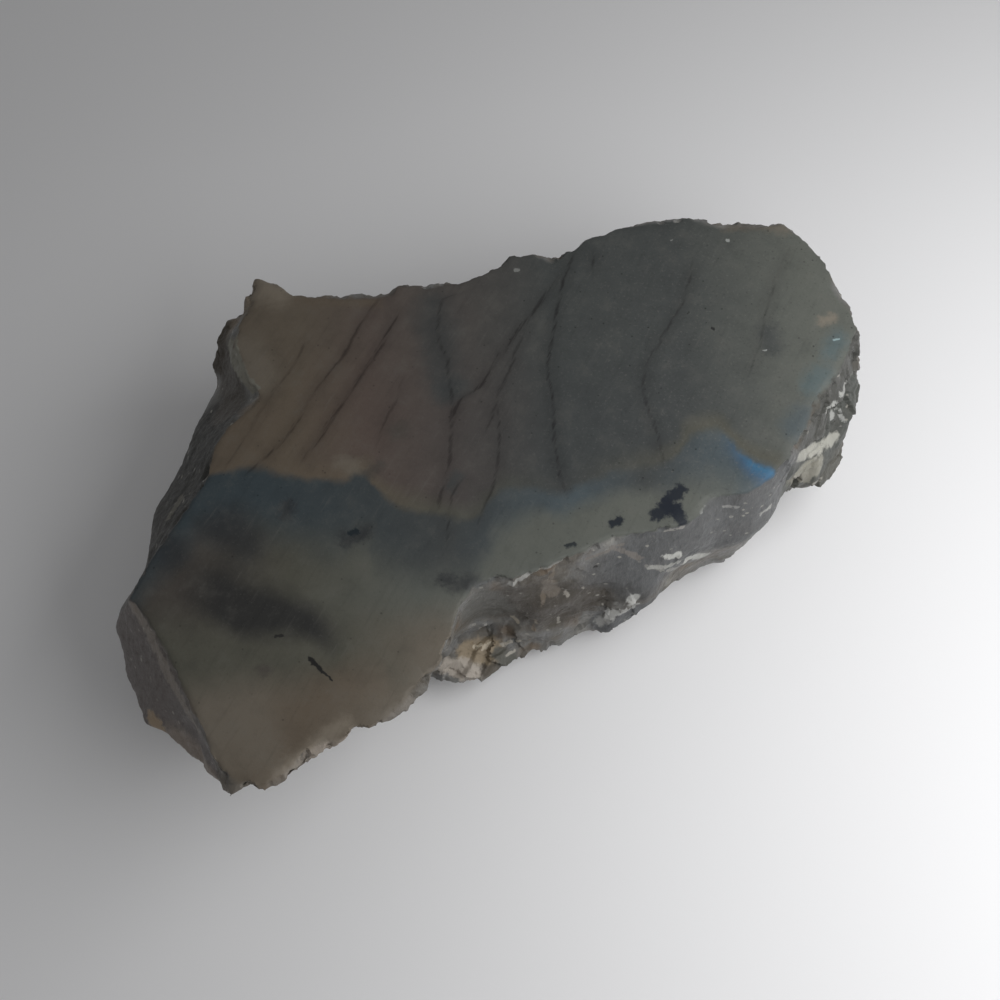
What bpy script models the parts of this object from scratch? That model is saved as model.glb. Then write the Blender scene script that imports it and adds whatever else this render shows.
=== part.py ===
"""A rough chunk of labradorite, about 83 mm long, with one sawn face.

The stone is one piece of feldspar. It was broken from a larger lump, and one face was then
sawn flat. It lies with the sawn face up and level, on a small flat of its broken underside.
The solid is a stack of closed rings of points. The rings of the sawn face run from its middle
out to the rim, the wall's rings go down from the rim over a shoulder to the foot, and the
underside's rings close in to the flat that the stone stands on. X runs along the stone and Z
is up. The origin is on the table, under the middle of the stone's box.
"""

import itertools
import math

import bmesh
import bpy
from mathutils import Vector, noise

MM = 0.001
UP = Vector((0.0, 0.0, 1.0))

# Driving dimensions, in millimetres.
HEIGHT = 21.0             # from the table to the sawn face
COLUMN_SPACING = 1.05     # along the rim, from one column of the wall to the next
RINGS_TO_SHOULDER = 6     # rings of the wall from the rim to the shoulder
RINGS_TO_FOOT = 7         # rings from the shoulder to the foot
FACE_MIDDLE = Vector((-8.5, -4.0, HEIGHT))        # the sawn face sees its whole rim from here
FACE_INSETS = (0.11, 0.05, 0.02)                  # rings of the sawn face: share of the way in
UNDERSIDE_RINGS = ((0.95, 0.72), (0.88, 0.42), (0.80, 0.17))   # shares of the foot's reach and height
FLAT_REACH = 0.70         # outline of the flat, as a share of the foot's reach
FLAT_WANDER = (0.08, 9.0)  # how far that share wanders, and over what length
LOWEST_BREAK = 0.3        # how low the broken surface comes round the flat

# Corners of the rim, anticlockwise as seen from above, from the right-hand end.
RIM = (
    (36.5, -13.5), (37.5, -11.0), (38.0, -8.5), (39.0, -4.5), (39.0, -2.5), (38.5, 1.0),
    (36.5, 2.5), (32.0, 6.0), (27.0, 9.0), (23.5, 10.0), (21.5, 10.0), (20.0, 10.5),
    (18.0, 10.0), (16.0, 10.5), (15.5, 11.5), (12.0, 13.0), (10.5, 12.5), (6.0, 13.0),
    (5.0, 14.0), (3.0, 14.5), (0.5, 16.5), (-0.5, 16.0), (-4.5, 18.5), (-7.0, 19.5),
    (-9.0, 21.0), (-9.5, 23.0), (-11.0, 25.0), (-13.0, 23.5), (-14.0, 22.0), (-17.0, 19.0),
    (-17.5, 17.5), (-18.0, 15.0), (-17.5, 12.5), (-19.0, 11.5), (-21.5, 11.0), (-24.0, 9.5),
    (-26.0, 7.0), (-29.5, 5.0), (-34.0, 2.5), (-35.5, 1.5), (-37.5, 0.0), (-37.0, -2.5),
    (-37.0, -7.5), (-37.2, -9.5), (-37.5, -13.0), (-38.0, -19.0), (-38.5, -21.0),
    (-37.0, -21.0), (-35.5, -22.0), (-33.5, -22.0), (-30.0, -21.5), (-27.5, -22.0),
    (-26.5, -21.5), (-25.5, -22.5), (-23.5, -22.5), (-21.0, -22.0), (-19.0, -21.5),
    (-15.0, -19.0), (-13.0, -17.0), (-10.5, -16.0), (-8.5, -16.5), (-7.0, -17.5),
    (-4.0, -18.0), (-1.5, -18.4), (1.5, -19.0), (2.8, -19.2), (4.0, -19.5), (6.5, -20.5),
    (9.0, -21.5), (11.5, -21.5), (13.5, -21.0), (16.0, -22.0), (18.5, -22.0), (21.0, -21.5),
    (24.0, -20.0), (29.0, -17.5), (31.5, -16.3), (34.0, -15.0),
)

# The wall under some of those corners: the corner, then the shoulder and the foot below it.
WALL = (
    ((36.5, -13.5), (37.6, -14.7, 9.0), (36.6, -13.4, 3.0)),
    ((38.0, -8.5), (38.3, -9.0, 14.0), (37.8, -8.5, 3.0)),
    ((39.0, -2.5), (39.8, -2.5, 12.0), (38.5, -3.0, 2.0)),
    ((36.5, 2.5), (38.0, 3.5, 14.0), (37.5, 3.0, 3.0)),
    ((32.0, 6.0), (33.0, 7.5, 11.0), (31.5, 7.0, 2.0)),
    ((23.5, 10.0), (24.5, 11.5, 14.0), (24.0, 10.0, 3.5)),
    ((16.0, 10.5), (16.5, 11.5, 9.0), (16.0, 11.0, 2.0)),
    ((12.0, 13.0), (12.5, 14.5, 13.0), (11.5, 14.5, 2.5)),
    ((6.0, 13.0), (7.0, 15.0, 10.0), (6.0, 14.5, 3.0)),
    ((0.5, 16.5), (0.5, 18.5, 14.0), (0.0, 18.0, 2.0)),
    ((-4.5, 18.5), (-4.0, 19.5, 11.0), (-4.5, 18.5, 3.0)),
    ((-9.0, 21.0), (-8.0, 22.5, 13.0), (-8.5, 21.0, 2.0)),
    ((-11.0, 25.0), (-11.8, 25.6, 15.0), (-12.0, 23.5, 3.5)),
    ((-14.0, 22.0), (-15.7, 24.4, 17.8), (-16.0, 23.5, 3.0)),
    ((-17.0, 19.0), (-18.1, 22.7, 17.6), (-18.5, 21.5, 3.0)),
    ((-18.0, 15.0), (-19.6, 21.2, 14.2), (-19.5, 20.5, 2.5)),
    ((-17.5, 12.5), (-21.3, 19.7, 14.0), (-21.5, 19.5, 3.0)),
    ((-21.5, 11.0), (-23.7, 17.2, 14.0), (-23.0, 17.0, 2.0)),
    ((-26.0, 7.0), (-28.8, 12.8, 14.0), (-27.5, 13.0, 3.0)),
    ((-29.5, 5.0), (-31.6, 10.8, 14.0), (-30.5, 11.0, 2.5)),
    ((-34.0, 2.5), (-35.6, 6.0, 13.0), (-34.0, 7.0, 3.0)),
    ((-35.5, 1.5), (-38.9, 3.8, 13.0), (-36.5, 4.0, 3.5)),
    ((-37.5, 0.0), (-40.7, 2.2, 12.5), (-37.5, 1.5, 3.0)),
    ((-37.0, -2.5), (-41.5, -2.8, 12.5), (-38.0, -2.5, 3.0)),
    ((-37.0, -7.5), (-42.1, -8.2, 13.0), (-37.5, -7.5, 3.5)),
    ((-37.2, -9.5), (-41.0, -9.9, 13.0), (-36.6, -8.6, 3.5)),
    ((-37.5, -13.0), (-40.3, -13.5, 13.5), (-35.0, -10.5, 4.0)),
    ((-38.0, -19.0), (-38.9, -18.0, 17.0), (-33.0, -13.0, 5.0)),
    ((-38.5, -21.0), (-37.8, -19.6, 18.0), (-31.5, -13.5, 5.5)),
    ((-33.5, -22.0), (-31.8, -17.8, 15.0), (-29.0, -13.5, 5.0)),
    ((-27.5, -22.0), (-25.5, -18.0, 14.0), (-24.5, -14.0, 4.5)),
    ((-21.0, -22.0), (-19.2, -17.8, 14.0), (-19.5, -14.5, 3.5)),
    ((-15.0, -19.0), (-14.4, -15.6, 11.0), (-16.2, -15.8, 3.0)),
    ((-13.0, -17.0), (-12.0, -15.0, 7.0), (-14.9, -17.6, 4.0)),
    ((-10.5, -16.0), (-10.1, -14.9, 6.5), (-12.9, -18.9, 4.0)),
    ((-8.5, -16.5), (-8.6, -15.4, 6.5), (-10.3, -19.5, 3.8)),
    ((-7.0, -17.5), (-7.0, -16.5, 7.5), (-8.0, -19.2, 3.4)),
    ((-4.0, -18.0), (-5.0, -18.6, 11.0), (-5.6, -18.7, 2.5)),
    ((-1.5, -18.4), (-2.6, -19.0, 11.0), (-3.5, -19.6, 2.5)),
    ((1.5, -19.0), (0.3, -19.8, 11.0), (-2.1, -19.1, 2.5)),
    ((2.8, -19.2), (1.8, -20.3, 11.0), (0.9, -19.7, 2.5)),
    ((4.0, -19.5), (3.0, -22.0, 9.5), (2.0, -21.6, 3.0)),
    ((6.5, -20.5), (6.2, -22.6, 10.0), (5.4, -21.7, 3.0)),
    ((9.0, -21.5), (8.6, -22.2, 11.0), (8.3, -21.2, 3.0)),
    ((13.5, -21.0), (13.3, -22.6, 12.0), (14.2, -21.3, 2.5)),
    ((16.0, -22.0), (16.4, -23.6, 13.0), (17.4, -21.6, 3.0)),
    ((18.5, -22.0), (19.9, -23.1, 13.5), (21.0, -21.3, 4.0)),
    ((21.0, -21.5), (22.9, -21.3, 12.0), (23.5, -19.4, 5.0)),
    ((24.0, -20.0), (25.7, -21.4, 8.5), (26.2, -19.4, 4.5)),
    ((29.0, -17.5), (29.0, -22.1, 8.0), (29.4, -20.2, 4.0)),
    ((31.5, -16.3), (33.4, -20.2, 8.5), (32.9, -18.3, 4.0)),
    ((34.0, -15.0), (36.6, -17.7, 9.5), (35.5, -16.1, 3.5)),
)

# Chips off the rim: where, how far along the rim each runs from there, and how deep it is.
CHIPS = (
    ((-12.0, 24.0), 4.0, 0.7), ((-3.0, 17.5), 5.0, 0.8), ((4.0, 14.3), 2.0, 0.5),
    ((15.8, 11.0), 1.6, 0.9), ((27.0, 9.0), 4.0, 0.5), ((34.5, 4.0), 5.0, 0.9),
    ((38.3, -9.5), 2.5, 0.4), ((28.0, -18.0), 3.0, 0.4), ((13.0, -21.3), 2.5, 0.8),
    ((2.0, -19.1), 3.0, 0.5), ((-10.0, -16.2), 2.0, 0.5), ((-20.5, -21.9), 4.5, 0.9),
    ((-32.0, -21.8), 4.5, 0.9), ((-38.4, -20.5), 1.5, 0.8), ((-18.0, 16.0), 4.5, 0.7),
)

# The rim's edge.
EDGE_WEAR = (0.10, 0.15)  # the least it is chipped everywhere, and how much more in places
EDGE_WEAR_SIZE = 2.0      # size of those places
EDGE_LEAN = 0.4           # how far out the chipped edge stands, for each millimetre down
FACE_CHIP = (0.35, 0.6)   # a chip deeper than this lowers the face too, by this share of the rest

# Relief of the broken wall: the stone splits along upright planes that run this way in plan.
GRAIN = Vector((-0.87, -0.50, 0.0))
SPLIT_PITCH = 7.5         # along the grain, from one split plane's edge to the next
SPLIT_DEPTH = 0.8
LAYER_PITCH = 4.6         # height of one flat-lying layer
LAYER_DEPTH = 0.45
STEP_RISE = 0.82          # the share of a step's length over which it rises; over the rest it falls
STEP_WANDER = (0.9, 11.0)  # how far the steps' edges wander, in pitches, and over what length
STEPPED_SIZE = 8.0        # size of the places that broke in steps, between the plain ones
STEPPED_GAIN = (1.5, 0.4)  # how sharply those places set in, and how much of the stone they take
NEXT_NOISE = 20.0         # how far off a second noise is read, so that it doesn't follow the first
FADE_RINGS = (3.0, 2.0)   # rings over which the relief fades in under the rim, and out at the flat

# Its facets, with sizes as shares of the size of one cell.
FACETS = ((11.0, 0.23), (4.6, 0.32))   # size of the facets, and how strongly they are tilted
FACET_MIDDLE = -0.15      # the facets' average height
FACET_LIFT = 0.3          # how much higher some of them stand
FACET_REACH = 0.8         # how far a facet can reach from its middle
FACET_EDGE = 20.0         # how sharply it ends beyond that
FACET_TOP = 0.12          # height of the surface that no facet cuts
FACET_NOISE = 100.0       # how far off the facets' tilts are read from their places
CELL_MIDDLE = Vector((0.5, 0.5, 0.5))

# Where it broke clean: the middle in plan, how far round it, and the share of the relief left.
SMOOTH = (
    ((-41.0, -4.0), 13.0, 0.25), ((-27.0, 11.0), 13.0, 0.15), ((-11.0, -17.0), 5.0, 0.4),
    ((1.5, -21.0), 4.0, 0.4), ((16.0, -23.0), 9.0, 0.5),
)

STONE_COLOUR = (0.12, 0.115, 0.105, 1.0)
STONE_ROUGHNESS = 0.5


def wall_columns():
    """One (rim, shoulder, foot) triple for each column of the wall, all the way round."""
    corners = [Vector(corner) for corner in RIM]
    places = [corners.index(Vector(row[0])) for row in WALL] + [len(corners)]
    columns = []
    for k, row in enumerate(WALL):
        following = WALL[(k + 1) % len(WALL)]
        path = [corners[i % len(corners)] for i in range(places[k], places[k + 1] + 1)]
        lengths = [(b - a).length for a, b in zip(path, path[1:])]
        gone = 0.0
        for start, end, length in zip(path, path[1:], lengths):
            steps = max(1, round(length / COLUMN_SPACING))
            for step in range(steps):
                share = (gone + length * step / steps) / sum(lengths)
                rim = start.lerp(end, step / steps).to_3d() + UP * HEIGHT
                shoulder = Vector(row[1]).lerp(Vector(following[1]), share)
                foot = Vector(row[2]).lerp(Vector(following[2]), share)
                columns.append((rim, shoulder, foot))
            gone += length
    return columns


def chip_depth(rim):
    """How far the sawn face's edge is chipped down at a point of the rim."""
    least, more = EDGE_WEAR
    depth = least + more * abs(noise.noise(rim / EDGE_WEAR_SIZE))
    for place, run, chip in CHIPS:
        distance = (rim.to_2d() - Vector(place)).length
        depth += chip * max(0.0, 1.0 - (distance / run) ** 2)
    return depth


def saw(value):
    """A saw's teeth between -0.5 and 0.5: a slow rise and a steep fall."""
    share = value % 1.0
    if share < STEP_RISE:
        return share / STEP_RISE - 0.5
    return 0.5 - (share - STEP_RISE) / (1.0 - STEP_RISE)


def facets(point, size):
    """Height of flat facets of one size, each tilted its own way, with sharp edges."""
    where = point / size
    cell = Vector([math.floor(c) for c in where])
    heights = []
    for step in itertools.product((-1.0, 0.0, 1.0), repeat=3):
        corner = cell + Vector(step)
        lean = noise.cell_vector(corner + UP * (FACET_NOISE + size)) - CELL_MIDDLE
        away = where - corner - noise.cell_vector(corner)
        far = max(0.0, away.length - FACET_REACH)
        heights.append(lean.dot(away) + lean.x * FACET_LIFT + far * far * FACET_EDGE)
    return min(FACET_TOP, *heights)


def relief(point):
    """How far the broken surface stands out of the plain wall at a point."""
    reach, length = STEP_WANDER
    wander = noise.noise(point / length) * reach
    gain, share = STEPPED_GAIN
    strength = noise.noise(point / STEPPED_SIZE + UP * NEXT_NOISE) * gain + share
    strength = min(1.0, max(0.0, strength))
    split = saw(point.dot(GRAIN) / SPLIT_PITCH + wander) * SPLIT_DEPTH
    layer = saw(point.z / LAYER_PITCH + wander) * LAYER_DEPTH
    chips = sum((facets(point, size) - FACET_MIDDLE) * size * depth for size, depth in FACETS)
    for place, radius, kept in SMOOTH:
        near = max(0.0, 1.0 - (point.to_2d() - Vector(place)).length_squared / radius ** 2)
        strength *= 1.0 - near
        chips *= 1.0 - near * (1.0 - kept)
    return (split + layer) * strength + chips


def roughened(rings):
    """The rings with the relief laid on them, fading in below the first and out at the last."""
    result = [list(rings[0])]
    last = len(rings) - 1
    fade_in, fade_out = FADE_RINGS
    for r in range(1, last):
        fade = min(1.0, r / fade_in, (last - r) / fade_out)
        ring = []
        for i, point in enumerate(rings[r]):
            along = rings[r][(i + 1) % len(rings[r])] - rings[r][i - 1]
            down = rings[r + 1][i] - rings[r - 1][i]
            moved = point + down.cross(along).normalized() * relief(point) * fade
            moved.z = max(moved.z, LOWEST_BREAK)
            ring.append(moved)
        result.append(ring)
    return result + [list(rings[last])]


def stone_rings():
    """The closed rings of the stone, from the middle of the sawn face to the flat under it."""
    columns = wall_columns()
    rims, shoulders, feet = zip(*columns)
    face = [[rim.lerp(FACE_MIDDLE, inset) for rim in rims] for inset in FACE_INSETS]
    edge = []
    deep, lowered = FACE_CHIP
    for i, rim in enumerate(rims):
        outwards = (rim - FACE_MIDDLE).normalized()
        depth = chip_depth(rim)
        face[-1][i] -= UP * max(0.0, depth - deep) * lowered
        edge.append(rim + outwards * depth * EDGE_LEAN - UP * depth)
    outside = []
    for ring in range(RINGS_TO_SHOULDER):
        share = ring / RINGS_TO_SHOULDER
        outside.append([a.lerp(b, share) for a, b in zip(edge, shoulders)])
    for ring in range(RINGS_TO_FOOT):
        share = ring / RINGS_TO_FOOT
        outside.append([a.lerp(b, share) for a, b in zip(shoulders, feet)])
    outside.append(feet)
    for reach, rise in UNDERSIDE_RINGS:
        outside.append([Vector((foot.x * reach, foot.y * reach, foot.z * rise)) for foot in feet])
    flat = []
    wander, length = FLAT_WANDER
    for foot in feet:
        reach = FLAT_REACH + wander * noise.noise(foot / length)
        flat.append(Vector((foot.x * reach, foot.y * reach, 0.0)))
    return face + roughened(outside + [flat])


def stone_mesh():
    """The stone as one closed mesh, moved so that its box stands centred on the origin."""
    body = bmesh.new()
    loops = [[body.verts.new(p) for p in ring] for ring in stone_rings()]
    for upper, lower in zip(loops, loops[1:]):
        for i in range(len(upper)):
            body.faces.new((upper[i - 1], lower[i - 1], lower[i], upper[i]))
    body.faces.new(loops[0])
    body.faces.new(list(reversed(loops[-1])))
    bmesh.ops.triangulate(body, faces=body.faces)
    low = Vector([min(v.co[i] for v in body.verts) for i in range(3)])
    high = Vector([max(v.co[i] for v in body.verts) for i in range(3)])
    shift = Vector((-(low.x + high.x) / 2, -(low.y + high.y) / 2, -low.z))
    bmesh.ops.translate(body, verts=body.verts, vec=shift)
    bmesh.ops.scale(body, verts=body.verts, vec=(MM, MM, MM))
    mesh = bpy.data.meshes.new("labradorite_chunk")
    body.to_mesh(mesh)
    body.free()
    return mesh


def stone_material():
    """Grey feldspar with a low sheen."""
    material = bpy.data.materials.new("labradorite")
    material.use_nodes = True
    shader = material.node_tree.nodes["Principled BSDF"]
    shader.inputs["Base Color"].default_value = STONE_COLOUR
    shader.inputs["Roughness"].default_value = STONE_ROUGHNESS
    shader.inputs["Metallic"].default_value = 0.0
    return material


for old in list(bpy.data.objects):
    bpy.data.objects.remove(old)
stone = bpy.data.objects.new("labradorite_chunk", stone_mesh())
stone.data.materials.append(stone_material())
bpy.context.scene.collection.objects.link(stone)
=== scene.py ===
import math

import bpy
import numpy as np
from mathutils import Matrix, Vector, noise


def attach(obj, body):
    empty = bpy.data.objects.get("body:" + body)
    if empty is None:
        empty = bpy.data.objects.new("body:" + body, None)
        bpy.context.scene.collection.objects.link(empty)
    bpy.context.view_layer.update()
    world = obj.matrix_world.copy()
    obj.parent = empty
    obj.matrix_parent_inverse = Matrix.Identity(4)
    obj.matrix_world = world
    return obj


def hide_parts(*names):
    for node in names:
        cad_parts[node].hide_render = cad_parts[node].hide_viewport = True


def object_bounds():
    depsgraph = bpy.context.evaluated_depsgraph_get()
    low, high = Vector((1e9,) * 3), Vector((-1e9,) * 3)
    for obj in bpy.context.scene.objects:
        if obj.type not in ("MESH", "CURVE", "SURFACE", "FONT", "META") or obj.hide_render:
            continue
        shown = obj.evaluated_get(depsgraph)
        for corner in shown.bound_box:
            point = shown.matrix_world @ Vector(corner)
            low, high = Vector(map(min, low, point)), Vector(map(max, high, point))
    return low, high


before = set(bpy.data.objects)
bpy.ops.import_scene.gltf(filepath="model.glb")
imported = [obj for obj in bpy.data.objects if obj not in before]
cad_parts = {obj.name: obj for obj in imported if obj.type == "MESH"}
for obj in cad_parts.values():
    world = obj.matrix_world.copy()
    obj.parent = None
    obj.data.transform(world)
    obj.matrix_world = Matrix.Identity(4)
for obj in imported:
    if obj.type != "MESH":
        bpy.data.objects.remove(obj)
cad_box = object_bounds()


# The body of the stone. Labradorite is a grey feldspar that breaks along two sets of flat planes,
# so its broken sides are stepped, splintered and chipped, while one side has been sawn flat.
# A copy of the plain solid is merged, remeshed finely, and broken by the stone's own cleavage.
MM = 0.001
UP = Vector((0.0, 0.0, 1.0))
CELL_MIDDLE = Vector((0.5, 0.5, 0.5))
BAND_TURN = math.radians(33.0)       # from the stone's X axis to the way that its bands of flash run
BAND_ORIGIN = Vector((-3.17, -10.89, 0.0))   # places along (u), across (v) and above (w) the bands start here
FACE_HEIGHT = 21.0                   # of the sawn face over the table, in millimetres, as all sizes here
MERGE_REACH = 0.001                  # corners of the plain solid closer than this are one
MESH_SIZE = 0.22
MOST_TRIANGLES = 190_000
SPLIT = Vector((0.50, -0.87, 0.05)).normalized()    # square to the upright cleavage
LAYER = Vector((-0.12, 0.10, 0.98)).normalized()    # square to the flat-lying cleavage
SPLIT_PITCH = 2.4
SPLIT_DEPTH = 0.34
LAYER_PITCH = 1.7
LAYER_DEPTH = 0.26
STEP_RISE = 0.86                     # the share of a step over which it rises; over the rest it falls
CHIP_SIZES = ((3.4, 0.27), (1.5, 0.22))   # size of the flat chips, and how strongly they tilt
HACKLE_SIZE = 0.8
HACKLE_DEPTH = 0.060
INWARDS = 0.06                       # the breaks are cut into the plain solid by this much on average
NICK_SIZE = 1.1                      # nicks along the rim of the sawn face
NICK_DEPTH = 0.42
SAW_WAVE_SIZE = 5.0                  # the sawn face is not quite level
SAW_WAVE_DEPTH = 0.05
REST_HEIGHT = 0.9                    # up to which the worn foot loses its breakage
CLEAN_BREAKS = (    # where it broke clean: the middle (u, v, w), how far round it, how much relief is left
    ((-29.5, 10.0, 15.0), 11.0, 0.14),
    ((-31.5, -3.0, 15.0), 11.0, 0.14),
    ((-31.0, -17.0, 16.0), 13.0, 0.10),
    ((21.0, -1.0, 13.0), 12.0, 0.10),
    ((4.0, -7.0, 12.0), 8.0, 0.30),
    ((12.0, -4.5, 17.0), 6.0, 0.30),
    ((-27.5, 19.0, 18.0), 5.0, 0.35),
    ((34.0, 10.0, 14.0), 6.0, 0.35),
    ((-1.5, -8.5, 14.0), 7.0, 0.20),
)
SHATTERED = (    # where it is bruised or crystalline: the middle, how far round it, the extra relief
    ((-1.0, -10.0, 5.0), 5.0, 0.6),
    ((12.0, -6.1, 8.0), 3.2, 1.3),
    ((17.5, -3.0, 13.0), 3.0, 0.7),
    ((34.4, 12.2, 16.5), 3.4, 1.2),
    ((32.0, 8.6, 15.0), 3.2, 0.7),
    ((2.6, -7.6, 20.0), 2.0, 1.2),
)
FLAT_WALLS = (    # calm planes: their middle, and how far round it
    ((21.0, -1.0, 12.0), 11.0),
    ((-30.0, 6.0, 13.0), 11.0),
    ((-1.0, -8.5, 13.5), 6.5),
)
BLUNT_TIP = (-22.9, -27.9, 21.0)     # the tongue's tip is worn round
TIP_REACH = 2.4
FLATTENING = 70                      # passes of smoothing over the calm planes and the tip
EVENING = 4                          # and over every wall
WEAR_AND_SHADE_PASSES = 4                      # and over the map of ridges and hollows, for the worn ridges and the painted shade in the hollows
SHARP_EDGE = math.radians(28.0)      # edges that turn by more than this stay sharp
TO_BANDS = Matrix.Rotation(BAND_TURN, 3, "Z")


def smooth(low, high, value):
    """0 below low, 1 above high, and a smooth rise between them."""
    share = min(1.0, max(0.0, (value - low) / (high - low)))
    return share * share * (3.0 - 2.0 * share)


def teeth(value):
    """A saw's teeth between -0.5 and 0.5, with a slow rise and a steep fall."""
    share = value % 1.0
    if share < STEP_RISE:
        return share / STEP_RISE - 0.5
    return 0.5 - (share - STEP_RISE) / (1.0 - STEP_RISE)


def breakage(point):
    """How far the broken surface stands out of the plain one at a point."""
    wander = noise.noise(point / 7.0) * 1.4 + noise.noise(point / 2.5) * 0.2
    stepped = smooth(-0.20, 0.35, noise.noise(point / 6.0 + UP * 30.0))
    layered = smooth(-0.15, 0.30, noise.noise(point / 5.0 + UP * 70.0))
    depth = teeth(point.dot(SPLIT) / SPLIT_PITCH + wander) * SPLIT_DEPTH * stepped
    depth += teeth(point.dot(LAYER) / LAYER_PITCH + wander) * LAYER_DEPTH * layered
    for size, tilt in CHIP_SIZES:
        where = point / size
        centre = noise.voronoi(where)[1][0]
        lean = noise.cell_vector(centre * 61.0) - CELL_MIDDLE
        depth += lean.dot(where - centre) * size * tilt
    left = 1.0
    banded = TO_BANDS @ (point - BAND_ORIGIN)
    for middle, reach, kept in CLEAN_BREAKS:
        near = smooth(1.0, 0.65, (banded - Vector(middle)).length / reach)
        left = min(left, 1.0 - near * (1.0 - kept))
    for middle, reach, more in SHATTERED:
        left += more * smooth(1.0, 0.6, (banded - Vector(middle)).length / reach)
    nicks = smooth(0.10, 0.45, noise.noise(point / NICK_SIZE + UP * 11.0))
    nicks *= smooth(1.8, 0.4, FACE_HEIGHT - point.z) * min(1.0, 0.25 + left) * NICK_DEPTH
    left *= 0.45 + 0.55 * smooth(0.3, 3.0, FACE_HEIGHT - point.z)
    hackle = noise.fractal(point / HACKLE_SIZE, 0.9, 2.1, 3) * HACKLE_DEPTH
    return depth * left + hackle - nicks - INWARDS


bpy.ops.object.select_all(action="DESELECT")
stone = bpy.data.objects.new("labradorite_stone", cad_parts["labradorite_chunk"].data.copy())
bpy.context.scene.collection.objects.link(stone)
bpy.context.view_layer.objects.active = stone
stone.select_set(True)
bpy.ops.object.mode_set(mode="EDIT")
bpy.ops.mesh.select_all(action="SELECT")
bpy.ops.mesh.remove_doubles(threshold=MERGE_REACH * MM)
bpy.ops.object.mode_set(mode="OBJECT")
stone.data.materials.clear()
remesh = stone.modifiers.new("fine mesh", "REMESH")
remesh.mode = "VOXEL"
remesh.voxel_size = MESH_SIZE * MM
bpy.ops.object.modifier_apply(modifier=remesh.name)


def spread(values, edges):
    """The mean of each vertex's neighbours' values."""
    ends = np.concatenate([edges[:, 0], edges[:, 1]])
    others = np.concatenate([edges[:, 1], edges[:, 0]])
    count = np.bincount(ends)
    return np.stack([np.bincount(ends, column[others]) / count for column in values.T]).T


edges = np.empty(len(stone.data.edges) * 2, int)
stone.data.edges.foreach_get("vertices", edges)
edges = edges.reshape(-1, 2)
points = np.empty(len(stone.data.vertices) * 3)
stone.data.vertices.foreach_get("co", points)
points = points.reshape(-1, 3) / MM
calm = np.zeros(len(points))
for middle, reach in FLAT_WALLS:
    middle = np.array(TO_BANDS.transposed() @ Vector(middle) + BAND_ORIGIN)
    calm = np.maximum(calm, 1.0 - np.linalg.norm(points - middle, axis=1) / reach)
calm = np.clip(calm * 3.0, 0.0, 0.5) * np.clip(FACE_HEIGHT - 0.15 - points[:, 2], 0.0, 1.0)
tip = np.array(TO_BANDS.transposed() @ Vector(BLUNT_TIP) + BAND_ORIGIN)
blunt = np.clip(1.5 - 1.5 * np.linalg.norm(points - tip, axis=1) / TIP_REACH, 0.0, 0.5)
calm = np.maximum(calm, blunt)
walls = 0.5 * np.clip(FACE_HEIGHT - 0.5 - points[:, 2], 0.0, 1.0)
for step in range(FLATTENING):
    share = np.maximum(calm, walls) if step < EVENING else calm
    points += (spread(points, edges) - points) * share[:, None]
stone.data.vertices.foreach_set("co", (points * MM).ravel())
stone.data.update()

low, high = [Vector(corner) / MM for corner in cad_box]
normals = [v.normal.copy() for v in stone.data.vertices]
for vertex, normal in zip(stone.data.vertices, normals):
    point = vertex.co / MM
    sawn = smooth(0.80, 0.97, normal.z) * smooth(FACE_HEIGHT - 0.7, FACE_HEIGHT - 0.3, point.z)
    resting = 1.0 - smooth(0.05, REST_HEIGHT, point.z)
    plain = max(sawn, resting)
    depth = sawn * SAW_WAVE_DEPTH * (-0.5 - noise.noise(point / SAW_WAVE_SIZE))
    if plain < 1.0:
        depth += breakage(point) * (1.0 - plain)
    moved = point + normal * depth
    vertex.co = Vector([min(high[i], max(low[i], moved[i])) for i in range(3)]) * MM
stone.data.update()

points = points.ravel()
stone.data.vertices.foreach_get("co", points)
points = points.reshape(-1, 3) / MM
facing = np.array([v.normal for v in stone.data.vertices])
ridge = ((points - spread(points, edges)) * facing).sum(axis=1, keepdims=True) / MESH_SIZE
for _ in range(WEAR_AND_SHADE_PASSES):
    ridge = 0.5 * ridge + 0.5 * spread(ridge, edges)
stone.data.attributes.new("worn", "FLOAT", "POINT").data.foreach_set("value", ridge.ravel())

thin = stone.modifiers.new("thinned", "DECIMATE")
thin.ratio = min(1.0, MOST_TRIANGLES / sum(len(p.vertices) - 2 for p in stone.data.polygons))
bpy.ops.object.modifier_apply(modifier=thin.name)
bpy.ops.object.shade_smooth_by_angle(angle=SHARP_EDGE)
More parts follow.
